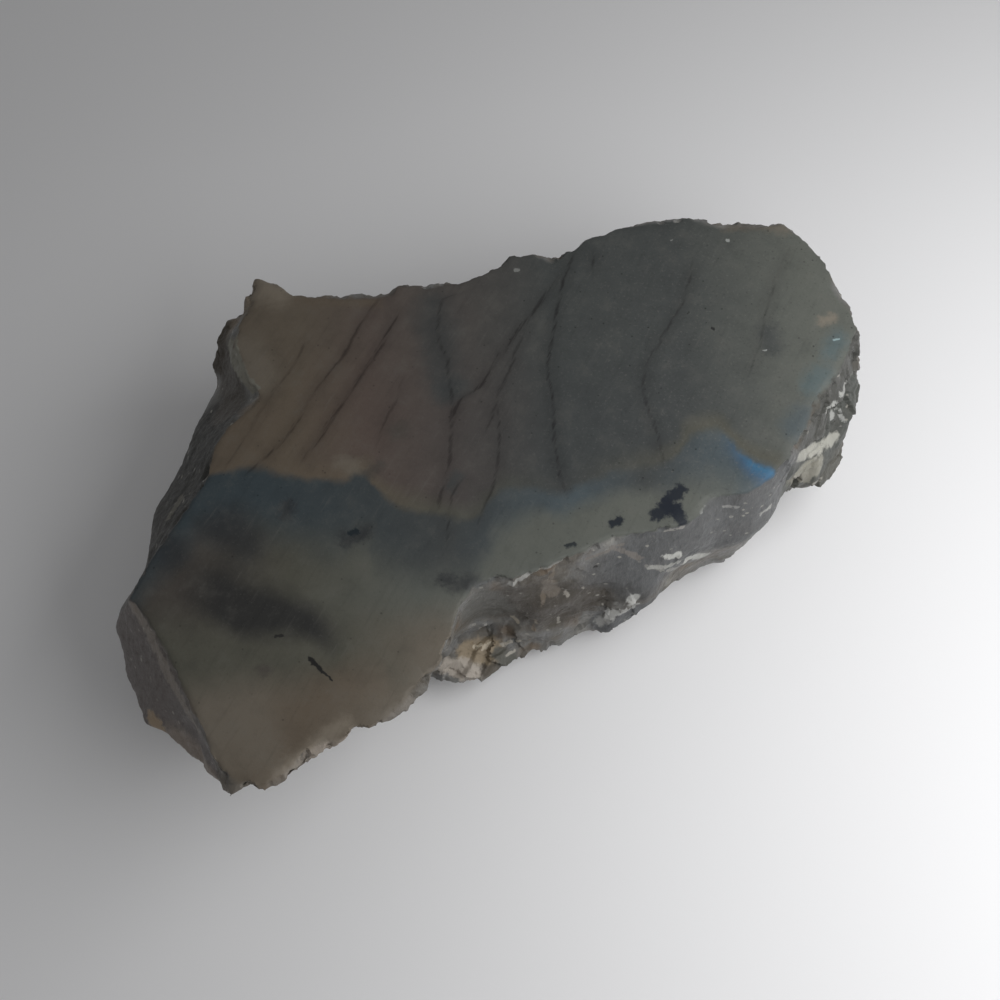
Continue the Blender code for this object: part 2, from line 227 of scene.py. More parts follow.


# The look of the stone. The sawn face shows thin bands of flash over grey, brown and green feldspar,
# crossed by fine dark cleavage cracks and a few ragged dark grains; the flash's blue, its glint and the
# sparkle are painted sheen and highlights in the colour. The broken sides are greyer, stained by iron,
# darkened in the hollows by painted shade, dotted with painted glints, and bruised pale on the ridges and
# chips.
class Shade:
    """A socket of a material. Sums on it are written as on a number, and add Math nodes."""

    def __init__(self, socket):
        self.socket = socket

    def node(self, kind, settings, values, output=0):
        """Adds a node of a kind, with its settings and the values or links of its sockets."""
        tree = self.socket.id_data
        made = tree.nodes.new(kind)
        for name, value in settings.items():
            if name == "stops":
                ramp = made.color_ramp.elements
                for place, colour in value[1:-1]:
                    ramp.new(place)
                for element, (place, colour) in zip(ramp, value):
                    element.position = place
                    element.color = (*colour, 1.0)
            elif name == "corners":
                line = made.mapping.curves[0].points
                for x, y in value[1:-1]:
                    line.new(x, y)
                line[0].location, line[-1].location = value[0], value[-1]
                made.mapping.update()
            else:
                setattr(made, name, value)
        for name, value in values.items():
            if isinstance(value, Shade):
                tree.links.new(value.socket, made.inputs[name])
            else:
                made.inputs[name].default_value = value
        return Shade(made.outputs[output])

    def maths(self, operation, first, second=0.0):
        return self.node("ShaderNodeMath", {"operation": operation}, {0: first, 1: second})

    def __add__(self, other):
        return self.maths("ADD", self, other)

    __radd__ = __add__

    def __sub__(self, other):
        return self.maths("SUBTRACT", self, other)

    def __rsub__(self, other):
        return self.maths("SUBTRACT", other, self)

    def __mul__(self, other):
        return self.maths("MULTIPLY", self, other)

    __rmul__ = __mul__

    def __truediv__(self, other):
        return self.maths("DIVIDE", self, other)

    def __abs__(self):
        return self.maths("ABSOLUTE", self)

    def least(self, other):
        return self.maths("MINIMUM", self, other)

    def most(self, other):
        return self.maths("MAXIMUM", self, other)

    def rise(self, low, high):
        """0 where this is below low, 1 above high, and a smooth rise between."""
        values = {0: self, 1: low, 2: high}
        return self.node("ShaderNodeMapRange", {"interpolation_type": "SMOOTHSTEP"}, values)

    def fall(self, low, high, top=1.0):
        """The top value where this is below low, 0 above high, and a smooth fall between."""
        values = {0: self, 1: low, 2: high, 3: top, 4: 0.0}
        return self.node("ShaderNodeMapRange", {"interpolation_type": "SMOOTHSTEP"}, values)

    def along(self, corners):
        """The height of a smooth line through some corners, at this distance along it."""
        places, heights = zip(*corners)
        left, run = min(places), max(places) - min(places)
        foot, lift = min(heights), max(heights) - min(heights)
        unit = [((x - left) / run, (y - foot) / lift) for x, y in sorted(corners)]
        share = self.node("ShaderNodeFloatCurve", {"corners": unit}, {1: (self - left) / run})
        return share * lift + foot

    def noise(self, size, detail=2.0, roughness=0.5, output=0):
        """Cloudy noise from about 0 to 1, with clouds of a size. This has to be a place."""
        values = {"Vector": self, "Scale": 1.0 / size, "Detail": detail, "Roughness": roughness}
        return self.node("ShaderNodeTexNoise", {}, values, output)

    def vector(self, operation, other, output=0):
        return self.node("ShaderNodeVectorMath", {"operation": operation}, {0: self, 1: other}, output)

    def warped(self, size, reach):
        """This place, pushed about by clouds of a size."""
        push = self.noise(size, 2.0, 0.5, "Color").vector("SUBTRACT", CELL_MIDDLE)
        return self.vector("ADD", push.vector("MULTIPLY", (reach, reach, reach)))

    def axes(self):
        """The three parts of a place."""
        parts = self.node("ShaderNodeSeparateXYZ", {}, {0: self}).socket.node
        return [Shade(socket) for socket in parts.outputs]

    def gap(self, start, end):
        """The distance from this place to the straight line between two points."""
        start = Vector(start).to_3d()
        run = Vector(end).to_3d() - start
        off = self.vector("SUBTRACT", start)
        share = off.vector("DOT_PRODUCT", run / run.length_squared, "Value")
        share = share.node("ShaderNodeClamp", {}, {0: share})
        nearest = share.node("ShaderNodeVectorMath", {"operation": "SCALE"}, {"Vector": run, "Scale": share})
        return off.vector("DISTANCE", nearest, "Value")

    def across_ramp(self, colours):
        """The colour at this distance along a row of colours."""
        left, right = colours[0][0], colours[-1][0]
        stops = [((x - left) / (right - left), colour) for x, colour in colours]
        return self.node("ShaderNodeValToRGB", {"stops": stops}, {0: (self - left) / (right - left)})

    def painted(self, share, over, blend="MIX"):
        """This colour, with a share of another laid over it."""
        over = over if isinstance(over, Shade) else (*over, 1.0)
        settings = {"data_type": "RGBA", "blend_type": blend}
        return self.node("ShaderNodeMix", settings, {0: share, 6: self, 7: over}, 2)

    def dyed(self, share, by):
        """This colour, multiplied by another over a share of it."""
        return self.painted(share, by, "MULTIPLY")

    def marked(self, place, ragged, marks, soft, strength):
        """This colour, with marks on it: each from a start to an end, a reach around them, a colour."""
        colour = self
        for start, end, reach, mark_colour in marks:
            tear = {0: ragged, 1: 1.9 * min(reach, 0.6) + 0.10, 2: place.gap(start, end)}
            off = ragged.node("ShaderNodeMath", {"operation": "MULTIPLY_ADD"}, tear)
            share = off.fall(reach * (1.0 - soft), reach * (1.0 + soft), strength)
            colour = colour.painted(share, mark_colour)
        return colour


SMOKE = (0.030, 0.032, 0.035)        # the tints of the sawn face
SLATE = (0.055, 0.060, 0.060)
DEEP_BLUE = (0.045, 0.060, 0.068)
UMBER = (0.070, 0.062, 0.054)
MAUVE = (0.080, 0.070, 0.065)
OLIVE = (0.090, 0.088, 0.070)
PALE_BLUE = (0.070, 0.090, 0.100)
ROSE = (0.105, 0.080, 0.068)
BRONZE = (0.125, 0.100, 0.074)
MIST = (0.112, 0.118, 0.104)
SAND = (0.155, 0.135, 0.108)
CREAM = (0.220, 0.190, 0.150)
TEAL = (0.090, 0.125, 0.132)
# the painted glint of the flash: a sheen painted into the colour, and its brighter core
FLASH = (0.048, 0.104, 0.180)
BRIGHT_FLASH = (0.046, 0.155, 0.270)
SOOT = (0.029, 0.029, 0.029)
IRON = (0.150, 0.104, 0.064)         # and of the broken sides
BLANCHED = (0.310, 0.304, 0.285)
BEDDING = (0.200, 0.190, 0.170)
FRESH = (0.340, 0.334, 0.310)
GLINT_SPECKS = (0.300, 0.290, 0.265)
FLECK = (0.330, 0.318, 0.285)
GROUND = (    # above the band, from the left to the right
    (-20.0, BRONZE), (-13.0, ROSE), (-5.0, MAUVE), (5.0, SLATE), (18.0, SLATE), (31.0, MIST),
)
FRINGE = ((-14.0, BRONZE), (-6.0, OLIVE), (6.0, SLATE), (20.0, OLIVE))    # a warm edge over the band
BAND = (    # the band itself: its blue is a painted sheen of the flash, over the stone's own grey
    (-22.0, DEEP_BLUE), (-5.0, SLATE), (7.0, PALE_BLUE), (14.0, SLATE), (22.0, PALE_BLUE),
)
LOWER = ((-28.0, UMBER), (-19.0, OLIVE), (-7.0, MIST), (12.0, MIST))      # just below the band
NEAR = ((-26.0, OLIVE), (-14.0, OLIVE), (-6.0, SAND))                     # further down
TONGUE = ((-6.0, SAND), (1.0, BRONZE), (9.0, SAND))    # by the distance to the right of a plane across it
TONGUE_PLANE = (    # the plane that divides the tongue, across the bands and along them
    (-28.0, -21.0), (-25.6, -19.6), (-22.5, -18.5), (-19.8, -17.4), (-17.2, -16.2), (-15.0, -15.4),
)
BAND_TOP = (    # the band's upper edge, across the bands
    (-28.0, 2.1), (-24.6, 3.3), (-22.5, 3.2), (-19.9, 2.7), (-16.0, 1.9), (-14.6, 2.0), (-13.1, 2.8),
    (-12.1, 2.4), (-11.5, 1.0), (-9.8, -0.3), (-7.5, -1.2), (-5.1, -1.7), (-3.3, -2.1), (-1.9, -1.6),
    (-0.9, 0.0), (0.9, 1.4), (3.8, 1.2), (5.6, 0.8), (7.1, 1.4), (9.4, 2.3), (11.8, 3.2),
    (15.2, 3.9), (16.7, 4.8), (17.7, 6.4), (19.2, 7.3), (20.7, 7.5), (21.9, 6.8), (22.9, 5.3),
    (24.4, 4.2), (26.0, 3.6),
)
BAND_REACH = (    # how far down it fades
    (-28.0, 9.0), (-22.0, 9.5), (-14.0, 10.0), (-8.0, 9.5), (-3.0, 8.0), (1.0, 6.0), (6.0, 3.4),
    (11.0, 3.2), (17.0, 6.0), (21.0, 8.5), (26.0, 6.0),
)
SMOKE_TOP = (    # the upper edge of a smoky cloud below it
    (-31.0, -4.2), (-26.0, -6.4), (-21.8, -8.2), (-18.1, -9.6), (-15.3, -11.0), (-13.0, -13.5),
)
SMOKE_FOOT = (    # and its lower edge
    (-31.0, -9.0), (-25.5, -12.0), (-22.7, -13.4), (-17.8, -13.7), (-14.6, -14.9), (-13.0, -15.4),
)
TAN_TOP = (    # where the tan of the tongue begins
    (-30.0, -18.5), (-26.2, -18.4), (-21.9, -17.8), (-18.4, -17.6), (-15.0, -16.8), (-12.6, -15.8),
    (-10.5, -16.2), (-9.4, -18.3), (-6.0, -19.5),
)
MOTTLE_SIZE = 2.6
SAW_TURN = math.radians(-27.0)       # from the bands to the fine saw marks
SAW_MARK = (0.45, 5.5, 1.0)          # a saw mark's width and length
PORE_SPACING = 1.15
CRACK_HALO = 1.5                     # how far a crack dulls the stone beside it
CRACK_FADE = 1.2                     # over which a crack dies out at its ends
LAYER_TURN = (0.12, -0.10, 0.5)      # the lie and the size of the layers in the broken sides
LAYER_SIZE = (6.0, 2.2, 0.8)
FLECK_TURN = (0.3, 0.5, 0.6)         # and of the pale flecks in them
FLECK_SIZE = (2.6, 1.2, 0.9)
CRACKS = (    # each one's corners (across the bands, along them), its half width and its darkness
    (((22.5, -12.4), (18.9, -14.2), (15.6, -15.7), (13.1, -17.3), (9.4, -19.2), (6.8, -20.5),
      (4.4, -22.3), (2.7, -23.9)), 0.20, 0.70),
    (((21.2, -10.2), (16.9, -11.9), (13.1, -13.9), (9.4, -15.9), (6.3, -17.6), (4.4, -18.7)), 0.26, 0.80),
    (((22.9, -5.4), (18.9, -6.2), (15.6, -5.2), (12.4, -4.9), (9.4, -4.7), (5.6, -4.7), (2.1, -5.3),
      (-0.8, -5.8)), 0.22, 0.60),
    (((25.7, 6.4), (19.6, 2.4), (16.3, 0.2), (12.4, -2.0), (10.6, -3.9), (8.2, -4.6)), 0.24, 0.80),
    (((24.2, 5.0), (18.9, 2.4), (14.4, 1.0), (10.6, -0.4), (7.5, -1.2)), 0.18, 0.62),
    (((9.7, -0.3), (6.3, 0.0), (2.1, -0.6), (-1.3, -1.6), (-3.1, -2.1)), 0.18, 0.60),
    (((28.5, 7.6), (23.6, 6.2), (18.9, 5.3), (14.4, 4.8), (10.6, 5.1), (6.3, 5.2), (3.3, 5.6),
      (0.9, 6.1)), 0.20, 0.75),
    (((27.1, 19.9), (22.9, 18.6), (17.6, 15.9), (13.8, 14.2), (11.8, 13.9), (8.7, 14.7), (5.6, 15.3),
      (4.0, 15.5)), 0.18, 0.60),
    (((13.1, -9.5), (10.8, -10.2), (8.3, -11.2), (5.9, -11.9)), 0.16, 0.42),
    (((17.7, -19.4), (15.2, -20.2), (12.0, -22.0), (7.5, -24.0), (3.9, -25.9)), 0.18, 0.45),
    (((29.0, 30.0), (22.9, 27.3), (17.6, 25.9), (13.8, 24.5)), 0.16, 0.45),
    (((2.1, -3.5), (-1.3, -4.8), (-4.1, -4.9)), 0.16, 0.50),
    (((28.7, 9.7), (25.7, 9.4)), 0.16, 0.55),
)
CLOUDS = (    # soft patches in the sawn face: from, to (along the bands, across them), reach, tint
    ((-24.2, 24.2), (-22.5, 23.6), 1.5, CREAM),      # the worn corner, and pale edges on the left
    ((-25.3, 16.6), (-23.3, 13.0), 1.6, SAND),
    ((-20.0, 22.3), (-12.9, 22.3), 0.8, BRONZE),
    ((-26.6, 5.5), (-24.2, 7.3), 0.9, BRONZE),
    ((-15.0, 3.9), (-13.8, 3.5), 0.8, SAND),
    ((-6.8, 22.0), (-5.2, 12.5), 1.7, SLATE),        # dark clouds
    ((-10.1, 7.3), (-9.6, 7.5), 1.0, UMBER),
    ((-4.1, 2.5), (-4.5, 1.7), 0.7, SLATE),
    ((-25.5, -2.6), (-23.5, -4.9), 1.8, SMOKE),
    ((-20.2, -1.2), (-19.8, -0.8), 0.7, SMOKE),
    ((-3.8, -8.5), (-2.7, -8.1), 0.9, SMOKE),
    ((-5.4, 11.8), (-4.4, 12.5), 1.1, SLATE),
    ((-12.1, 2.8), (-11.4, 3.8), 0.5, UMBER),
    ((-14.3, -3.6), (-12.7, -3.2), 0.7, SMOKE),
    ((-5.1, -7.7), (-4.7, -7.8), 0.6, SMOKE),
    ((-21.0, -16.8), (-20.4, -16.7), 0.5, UMBER),
    ((-32.0, -3.5), (-30.5, -5.5), 1.4, SMOKE),
    ((27.0, 18.9), (27.2, 17.1), 1.0, SLATE),        # a dark patch and greenish ones at the right end
    ((30.5, 12.5), (31.7, 14.0), 1.1, TEAL),
    ((32.5, 16.3), (33.9, 18.0), 0.9, TEAL),
    ((28.4, 7.5), (29.5, 9.1), 1.2, PALE_BLUE),
    ((23.8, 32.3), (29.6, 31.7), 0.8, SAND),         # pale edges on the right
    ((32.1, 19.9), (33.4, 20.4), 0.5, CREAM),
    ((-10.0, -20.7), (-7.0, -18.5), 0.9, SAND),      # and on the tongue
    ((-18.4, -25.6), (-13.4, -21.6), 0.8, CREAM),
    ((-22.0, -20.8), (-20.4, -24.0), 1.7, SAND),
)
SPOTS = (    # sharper marks in it: dark grains, and pale chips
    ((-26.4, 20.2), (-26.5, 17.1), 0.28, (0.195, 0.187, 0.152)),
    ((-26.5, 17.1), (-25.1, 13.8), 0.28, (0.188, 0.184, 0.155)),
    ((-25.1, 13.8), (-23.7, 12.2), 0.24, (0.160, 0.156, 0.132)),
    ((-13.9, -3.4), (-13.3, -3.2), 0.30, (0.014, 0.021, 0.026)),
    ((-16.8, -15.7), (-15.8, -16.6), 0.23, (0.012, 0.012, 0.012)),
    ((-15.7, -16.7), (-14.7, -17.6), 0.10, (0.018, 0.018, 0.017)),
    ((-20.0, -13.5), (-19.4, -13.4), 0.15, (0.024, 0.023, 0.022)),
    ((15.8, 0.0), (17.1, 1.1), 0.60, (0.010, 0.014, 0.022)),
    ((14.6, -1.5), (15.9, -0.6), 0.66, (0.010, 0.014, 0.022)),
    ((15.7, -0.5), (16.3, -1.0), 0.80, (0.010, 0.014, 0.022)),
    ((16.3, -1.0), (17.0, -2.4), 0.62, (0.010, 0.014, 0.022)),
    ((10.5, -2.4), (11.0, -2.1), 0.44, (0.011, 0.015, 0.022)),
    ((6.2, -4.7), (6.8, -4.5), 0.24, (0.018, 0.023, 0.026)),
    ((21.2, 19.2), (21.4, 19.1), 0.14, (0.018, 0.018, 0.018)),
    ((1.6, 26.2), (1.8, 26.2), 0.22, (0.210, 0.215, 0.205)),
    ((23.5, 30.0), (23.7, 30.0), 0.14, (0.300, 0.310, 0.295)),
    ((17.7, 30.0), (17.9, 30.0), 0.09, (0.200, 0.205, 0.195)),
    ((26.2, 16.6), (26.4, 16.6), 0.11, (0.280, 0.290, 0.280)),
    ((33.4, 17.7), (33.7, 17.9), 0.11, (0.260, 0.350, 0.360)),
)
STAINS = (    # broad tints of the broken sides: from, to (u, v, w), reach, colour
    ((-29.2, 8.6, 16.5), (-32.0, -4.5, 17.5), 5.6, (0.040, 0.040, 0.037)),
    ((-33.0, -12.0, 16.0), (-27.0, -24.0, 15.0), 5.4, (0.140, 0.124, 0.118)),
    ((-30.0, -22.0, 14.0), (-25.0, -26.0, 16.0), 2.4, (0.235, 0.198, 0.168)),
    ((-26.5, 22.0, 18.5), (-24.5, 24.0, 20.0), 2.2, (0.185, 0.155, 0.120)),
    ((-27.6, 16.5, 18.0), (-27.0, 12.0, 18.0), 2.6, (0.086, 0.078, 0.068)),
    ((-28.8, 21.0, 17.5), (-29.2, 18.4, 16.5), 1.7, (0.052, 0.042, 0.030)),
    ((-23.4, -27.1, 18.5), (-18.0, -26.0, 19.0), 1.9, (0.168, 0.148, 0.126)),
    ((-17.0, -23.8, 19.0), (-8.0, -19.5, 18.5), 1.9, (0.140, 0.127, 0.113)),
    ((1.5, -7.5, 14.0), (7.0, -6.6, 11.5), 4.6, (0.066, 0.057, 0.046)),
    ((-2.5, -8.2, 17.5), (-1.0, -8.0, 12.0), 2.4, (0.106, 0.104, 0.094)),
    ((11.0, -5.2, 16.0), (14.0, -4.5, 13.0), 3.4, (0.088, 0.088, 0.087)),
    ((15.0, -4.0, 17.0), (26.5, 1.8, 17.0), 5.2, (0.106, 0.109, 0.111)),
    ((35.0, 14.0, 14.0), (32.0, 6.0, 13.0), 4.2, (0.074, 0.078, 0.071)),
    ((31.0, 5.0, 8.0), (36.0, 10.0, 8.0), 3.0, (0.098, 0.096, 0.083)),
    ((30.8, 7.0, 19.2), (35.4, 18.0, 19.2), 2.0, (0.074, 0.075, 0.069)),
    ((11.5, -6.3, 4.0), (15.0, -5.0, 7.0), 2.4, (0.100, 0.104, 0.108)),
)
CHIPS = (    # sharper ones: fresh pale chips and bruises, and crystals
    ((-30.6, 1.4, 18.2), (-31.5, -0.4, 18.2), 0.55, (0.145, 0.138, 0.116)),
    ((-28.0, 2.5, 20.4), (-27.4, 2.8, 20.9), 0.28, (0.180, 0.178, 0.165)),
    ((-33.1, -10.6, 20.2), (-27.0, -21.6, 19.0), 0.75, (0.225, 0.200, 0.176)),
    ((-32.0, -19.0, 14.1), (-31.6, -19.7, 13.3), 0.80, (0.290, 0.225, 0.155)),
    ((5.2, -6.5, 20.0), (4.2, -7.2, 15.4), 0.26, (0.185, 0.158, 0.128)),
    ((4.2, -7.2, 15.4), (3.1, -8.0, 4.9), 0.24, (0.175, 0.145, 0.112)),
    ((4.4, -6.9, 17.6), (5.0, -6.9, 15.2), 0.75, (0.158, 0.138, 0.115)),
    ((1.3, -7.9, 19.6), (3.0, -7.4, 20.7), 0.46, (0.360, 0.355, 0.335)),
    ((2.9, -7.4, 20.7), (5.5, -6.3, 20.8), 0.36, (0.250, 0.245, 0.228)),
    ((8.2, -5.4, 19.3), (11.4, -4.1, 19.6), 0.28, (0.190, 0.172, 0.155)),
    ((10.4, -4.4, 19.8), (13.3, -4.1, 16.9), 0.30, (0.180, 0.165, 0.150)),
    ((18.7, -1.2, 20.8), (20.7, 0.6, 21.0), 0.20, (0.270, 0.275, 0.265)),
    ((21.2, 0.1, 19.4), (22.9, 0.2, 18.8), 0.16, (0.250, 0.250, 0.240)),
    ((25.5, 0.8, 16.2), (26.6, 1.9, 15.7), 0.26, (0.340, 0.340, 0.320)),
    ((17.1, -2.6, 20.4), (15.3, -3.1, 20.4), 0.24, (0.300, 0.290, 0.270)),
    ((6.2, -6.6, 14.5), (6.5, -6.8, 13.8), 0.26, (0.300, 0.280, 0.245)),
    ((8.0, -6.1, 14.2), (8.2, -6.1, 13.1), 0.15, (0.260, 0.245, 0.215)),
    ((1.2, -7.2, 9.5), (1.8, -7.4, 8.4), 0.22, (0.290, 0.260, 0.210)),
    ((-1.5, -7.4, 7.8), (-1.6, -7.5, 6.4), 0.18, (0.360, 0.350, 0.330)),
    ((5.8, -6.9, 8.3), (5.9, -7.0, 7.2), 0.14, (0.260, 0.245, 0.215)),
    ((-3.2, -9.7, 5.6), (-0.9, -9.3, 5.4), 1.35, (0.285, 0.232, 0.162)),
    ((-5.3, -10.8, 5.3), (-3.0, -11.2, 4.4), 1.15, (0.420, 0.378, 0.330)),
    ((-0.1, -9.6, 5.0), (1.3, -10.1, 3.6), 0.95, (0.100, 0.100, 0.088)),
    ((-2.6, -9.2, 5.7), (-2.0, -8.8, 5.8), 0.26, (0.520, 0.460, 0.360)),
    ((-1.6, -9.1, 5.5), (-0.8, -8.7, 5.6), 0.28, (0.520, 0.460, 0.360)),
    ((0.2, -8.7, 5.5), (2.0, -8.4, 5.2), 0.30, (0.360, 0.335, 0.290)),
    ((0.5, -9.5, 4.5), (1.5, -9.1, 4.3), 0.22, (0.360, 0.340, 0.300)),
    ((10.3, -6.1, 4.2), (11.9, -6.0, 9.6), 0.60, (0.300, 0.300, 0.285)),
    ((11.2, -6.0, 6.4), (13.2, -5.9, 11.1), 0.56, (0.440, 0.440, 0.420)),
    ((12.1, -6.3, 7.2), (13.6, -6.0, 9.6), 0.34, (0.400, 0.400, 0.385)),
    ((14.0, -4.6, 15.9), (15.5, -4.3, 14.4), 0.20, (0.210, 0.205, 0.190)),
    ((15.5, -4.3, 14.4), (18.0, -2.5, 10.5), 0.30, (0.250, 0.245, 0.225)),
    ((14.5, -4.5, 15.3), (18.2, -3.2, 13.6), 0.30, (0.330, 0.328, 0.305)),
    ((15.9, -4.0, 16.5), (17.2, -3.4, 15.7), 0.46, (0.500, 0.500, 0.470)),
    ((18.2, -2.3, 12.2), (20.6, -0.9, 10.2), 0.62, (0.470, 0.470, 0.440)),
    ((17.4, -2.0, 5.2), (17.2, -2.9, 8.9), 0.40, (0.200, 0.190, 0.160)),
    ((32.8, 11.7, 18.8), (34.8, 14.3, 17.9), 0.42, (0.400, 0.405, 0.385)),
    ((33.2, 12.1, 18.7), (33.6, 11.6, 16.2), 0.36, (0.380, 0.385, 0.365)),
    ((33.6, 12.8, 18.7), (34.3, 12.3, 16.4), 0.36, (0.400, 0.405, 0.385)),
    ((34.3, 12.3, 16.4), (35.3, 11.6, 14.6), 0.28, (0.300, 0.305, 0.290)),
    ((32.8, 11.7, 18.8), (32.2, 10.7, 18.8), 0.26, (0.360, 0.365, 0.345)),
    ((-27.2, 17.9, 19.6), (-25.3, 13.8, 20.7), 0.85, (0.225, 0.220, 0.185)),
    ((-25.2, 13.8, 20.7), (-24.4, 12.4, 20.5), 0.70, (0.200, 0.192, 0.160)),
    ((-18.0, -25.6, 20.6), (-16.3, -24.2, 20.6), 0.62, (0.250, 0.222, 0.190)),
    ((-16.3, -24.2, 20.6), (-13.4, -22.6, 20.8), 0.66, (0.300, 0.262, 0.222)),
    ((-10.5, -21.2, 20.8), (-7.8, -19.3, 20.5), 0.55, (0.190, 0.172, 0.150)),
    ((30.2, 6.6, 13.6), (32.0, 8.0, 12.6), 1.45, (0.280, 0.270, 0.228)),
    ((30.0, 6.9, 16.9), (34.2, 10.7, 13.1), 0.85, (0.400, 0.394, 0.352)),
    ((30.2, 6.4, 12.1), (31.5, 7.3, 11.2), 0.60, (0.240, 0.230, 0.195)),
    ((32.5, 6.9, 10.5), (33.4, 7.9, 9.5), 0.30, (0.300, 0.290, 0.260)),
    ((11.6, -3.5, 21.0), (12.6, -3.5, 20.8), 0.14, (0.014, 0.014, 0.014)),
    ((8.9, -5.4, 17.6), (9.1, -5.3, 17.3), 0.18, (0.020, 0.019, 0.018)),
    ((-2.0, -8.5, 20.6), (-0.7, -8.1, 20.6), 0.62, (0.125, 0.130, 0.128)),
)

labradorite = bpy.data.materials.new("labradorite")
labradorite.use_nodes = True
web = labradorite.node_tree
start = Shade(web.nodes.new("ShaderNodeTexCoord").outputs["Object"])
spot = start.vector("MULTIPLY", (1.0 / MM, 1.0 / MM, 1.0 / MM))
turning = {"Vector": spot, "Rotation": (0.0, 0.0, BAND_TURN), "Location": -(TO_BANDS @ BAND_ORIGIN)}
place = spot.node("ShaderNodeMapping", {}, turning)
height = place.axes()[2]
level = (1.0, 1.0, 0.0)
flat = place.vector("MULTIPLY", level)
jagged = place.warped(0.6, 0.50)
drift = place.noise(4.2, 2.0, 0.5, "Color").vector("SUBTRACT", CELL_MIDDLE)
drifted = jagged.vector("ADD", drift.vector("MULTIPLY", (2.0, 2.0, 2.0)))
standing = place.vector("MULTIPLY", (1.0, 1.0, 0.45))
rough = standing.noise(0.55, 3.0, 0.65) - 0.5
grain = standing.noise(0.26, 2.0, 0.65) - 0.5

u, v, _ = drifted.axes()
cracked = place.warped(0.8, 0.38).vector("ADD", drift.vector("MULTIPLY", (0.6, 0.6, 0.6)))
crack_u, crack_v, _ = cracked.axes()
below = u.along(BAND_TOP) - v
colour = u.across_ramp(GROUND).painted(v.rise(8.0, 20.0) * 0.12, MIST)
fringe = below.rise(-2.8, -0.3) * u.fall(26.0, 27.5)
colour = colour.painted(fringe * 0.95, u.across_ramp(FRINGE))
under = below / u.along(BAND_REACH)
low = u.across_ramp(LOWER).painted(v.fall(-14.5, -9.0), u.across_ramp(NEAR))
# The band's blue is painted sheen of the flash; it fades down into the stone's own tints below it.
band = u.across_ramp(BAND).painted(under.rise(0.30, 1.0), low)
colour = colour.painted(below.rise(-0.60, 0.70) * u.fall(26.0, 27.5), band)
# A painted glint: the brightest blue of the flash, a sheen laid into the colour along the band's upper edge.
glint = below.rise(0.1, 0.9) * below.fall(1.0, 3.6) * u.rise(20.6, 24.2) * u.fall(25.4, 26.7)
colour = colour.painted(glint * 0.92, FLASH)
colour = colour.painted(glint * u.rise(22.4, 24.2) * below.fall(0.6, 2.2, 0.75), BRIGHT_FLASH)
smoke = (u.along(SMOKE_TOP) - v).rise(-1.2, 1.8) * (v - u.along(SMOKE_FOOT)).rise(-1.3, 1.4)
smoke = smoke * u.rise(-30.5, -25.0) * u.fall(-17.0, -13.2)
colour = colour.painted(smoke * 0.92, SOOT)
tongue = (u.along(TAN_TOP) - v).rise(-2.0, 2.2) * u.fall(-7.5, -5.5)
colour = colour.painted(tongue, (u - v.along(TONGUE_PLANE)).across_ramp(TONGUE))
colour = colour.marked(drifted.vector("MULTIPLY", level), rough, CLOUDS, 0.9, 0.75)

mottle = flat.noise(MOTTLE_SIZE, 4.0, 0.62)
colour = colour.dyed(mottle.rise(0.45, 0.75) * 0.42, (0.68, 0.69, 0.70))
colour = colour.painted(mottle.fall(0.28, 0.50) * 0.16, (0.150, 0.146, 0.130))
scratched = {"Vector": flat, "Rotation": (0.0, 0.0, SAW_TURN), "Scale": SAW_MARK}
streaks = flat.node("ShaderNodeMapping", {"vector_type": "TEXTURE"}, scratched).noise(1.0, 3.0, 0.6)
colour = colour.dyed(streaks.rise(0.50, 0.80) * 0.30, (0.62, 0.62, 0.62))
colour = colour.painted(streaks.fall(0.20, 0.42) * 0.16, (0.170, 0.165, 0.150))
# Pale specks stand in for sparkle: painted glints, stronger to the right, together with the dark grains and
# pores.
sparkle_and_grain = 0.35 + u.rise(-8.0, 26.0) * 0.65
colour = colour.painted(grain.rise(0.06, 0.28) * sparkle_and_grain * 0.42, (0.150, 0.150, 0.138))
colour = colour.dyed(grain.fall(-0.28, -0.08) * sparkle_and_grain * 0.6, (0.50, 0.50, 0.50))
cells = {"Vector": flat, "Scale": 1.0 / PORE_SPACING}
pores = flat.node("ShaderNodeTexVoronoi", {}, cells, "Distance").fall(0.05, 0.12)
colour = colour.dyed(pores * mottle.rise(0.44, 0.54) * (0.3 + sparkle_and_grain * 0.5), (0.30, 0.30, 0.30))

cracks = None
pieces = 0.22 + streaks.rise(0.42, 0.60) * 0.78
for corners, width, darkness in CRACKS:
    ends = [corner[0] for corner in corners]
    off = abs(crack_u - crack_v.along(corners))
    first, last = min(ends), max(ends)
    inside = crack_v.rise(first - CRACK_FADE, first + CRACK_FADE)
    inside = inside * crack_v.fall(last - CRACK_FADE, last + CRACK_FADE)
    line = off.fall(0.2 * width, 1.6 * width) * pieces + off.fall(0.2, CRACK_HALO, 0.38)
    mark = line * inside * darkness
    cracks = mark if cracks is None else cracks.most(mark)
colour = colour.dyed(cracks.least(1.0), (0.44, 0.42, 0.43))
colour = colour.marked(jagged.vector("MULTIPLY", level), rough, SPOTS, 0.40, 0.95)

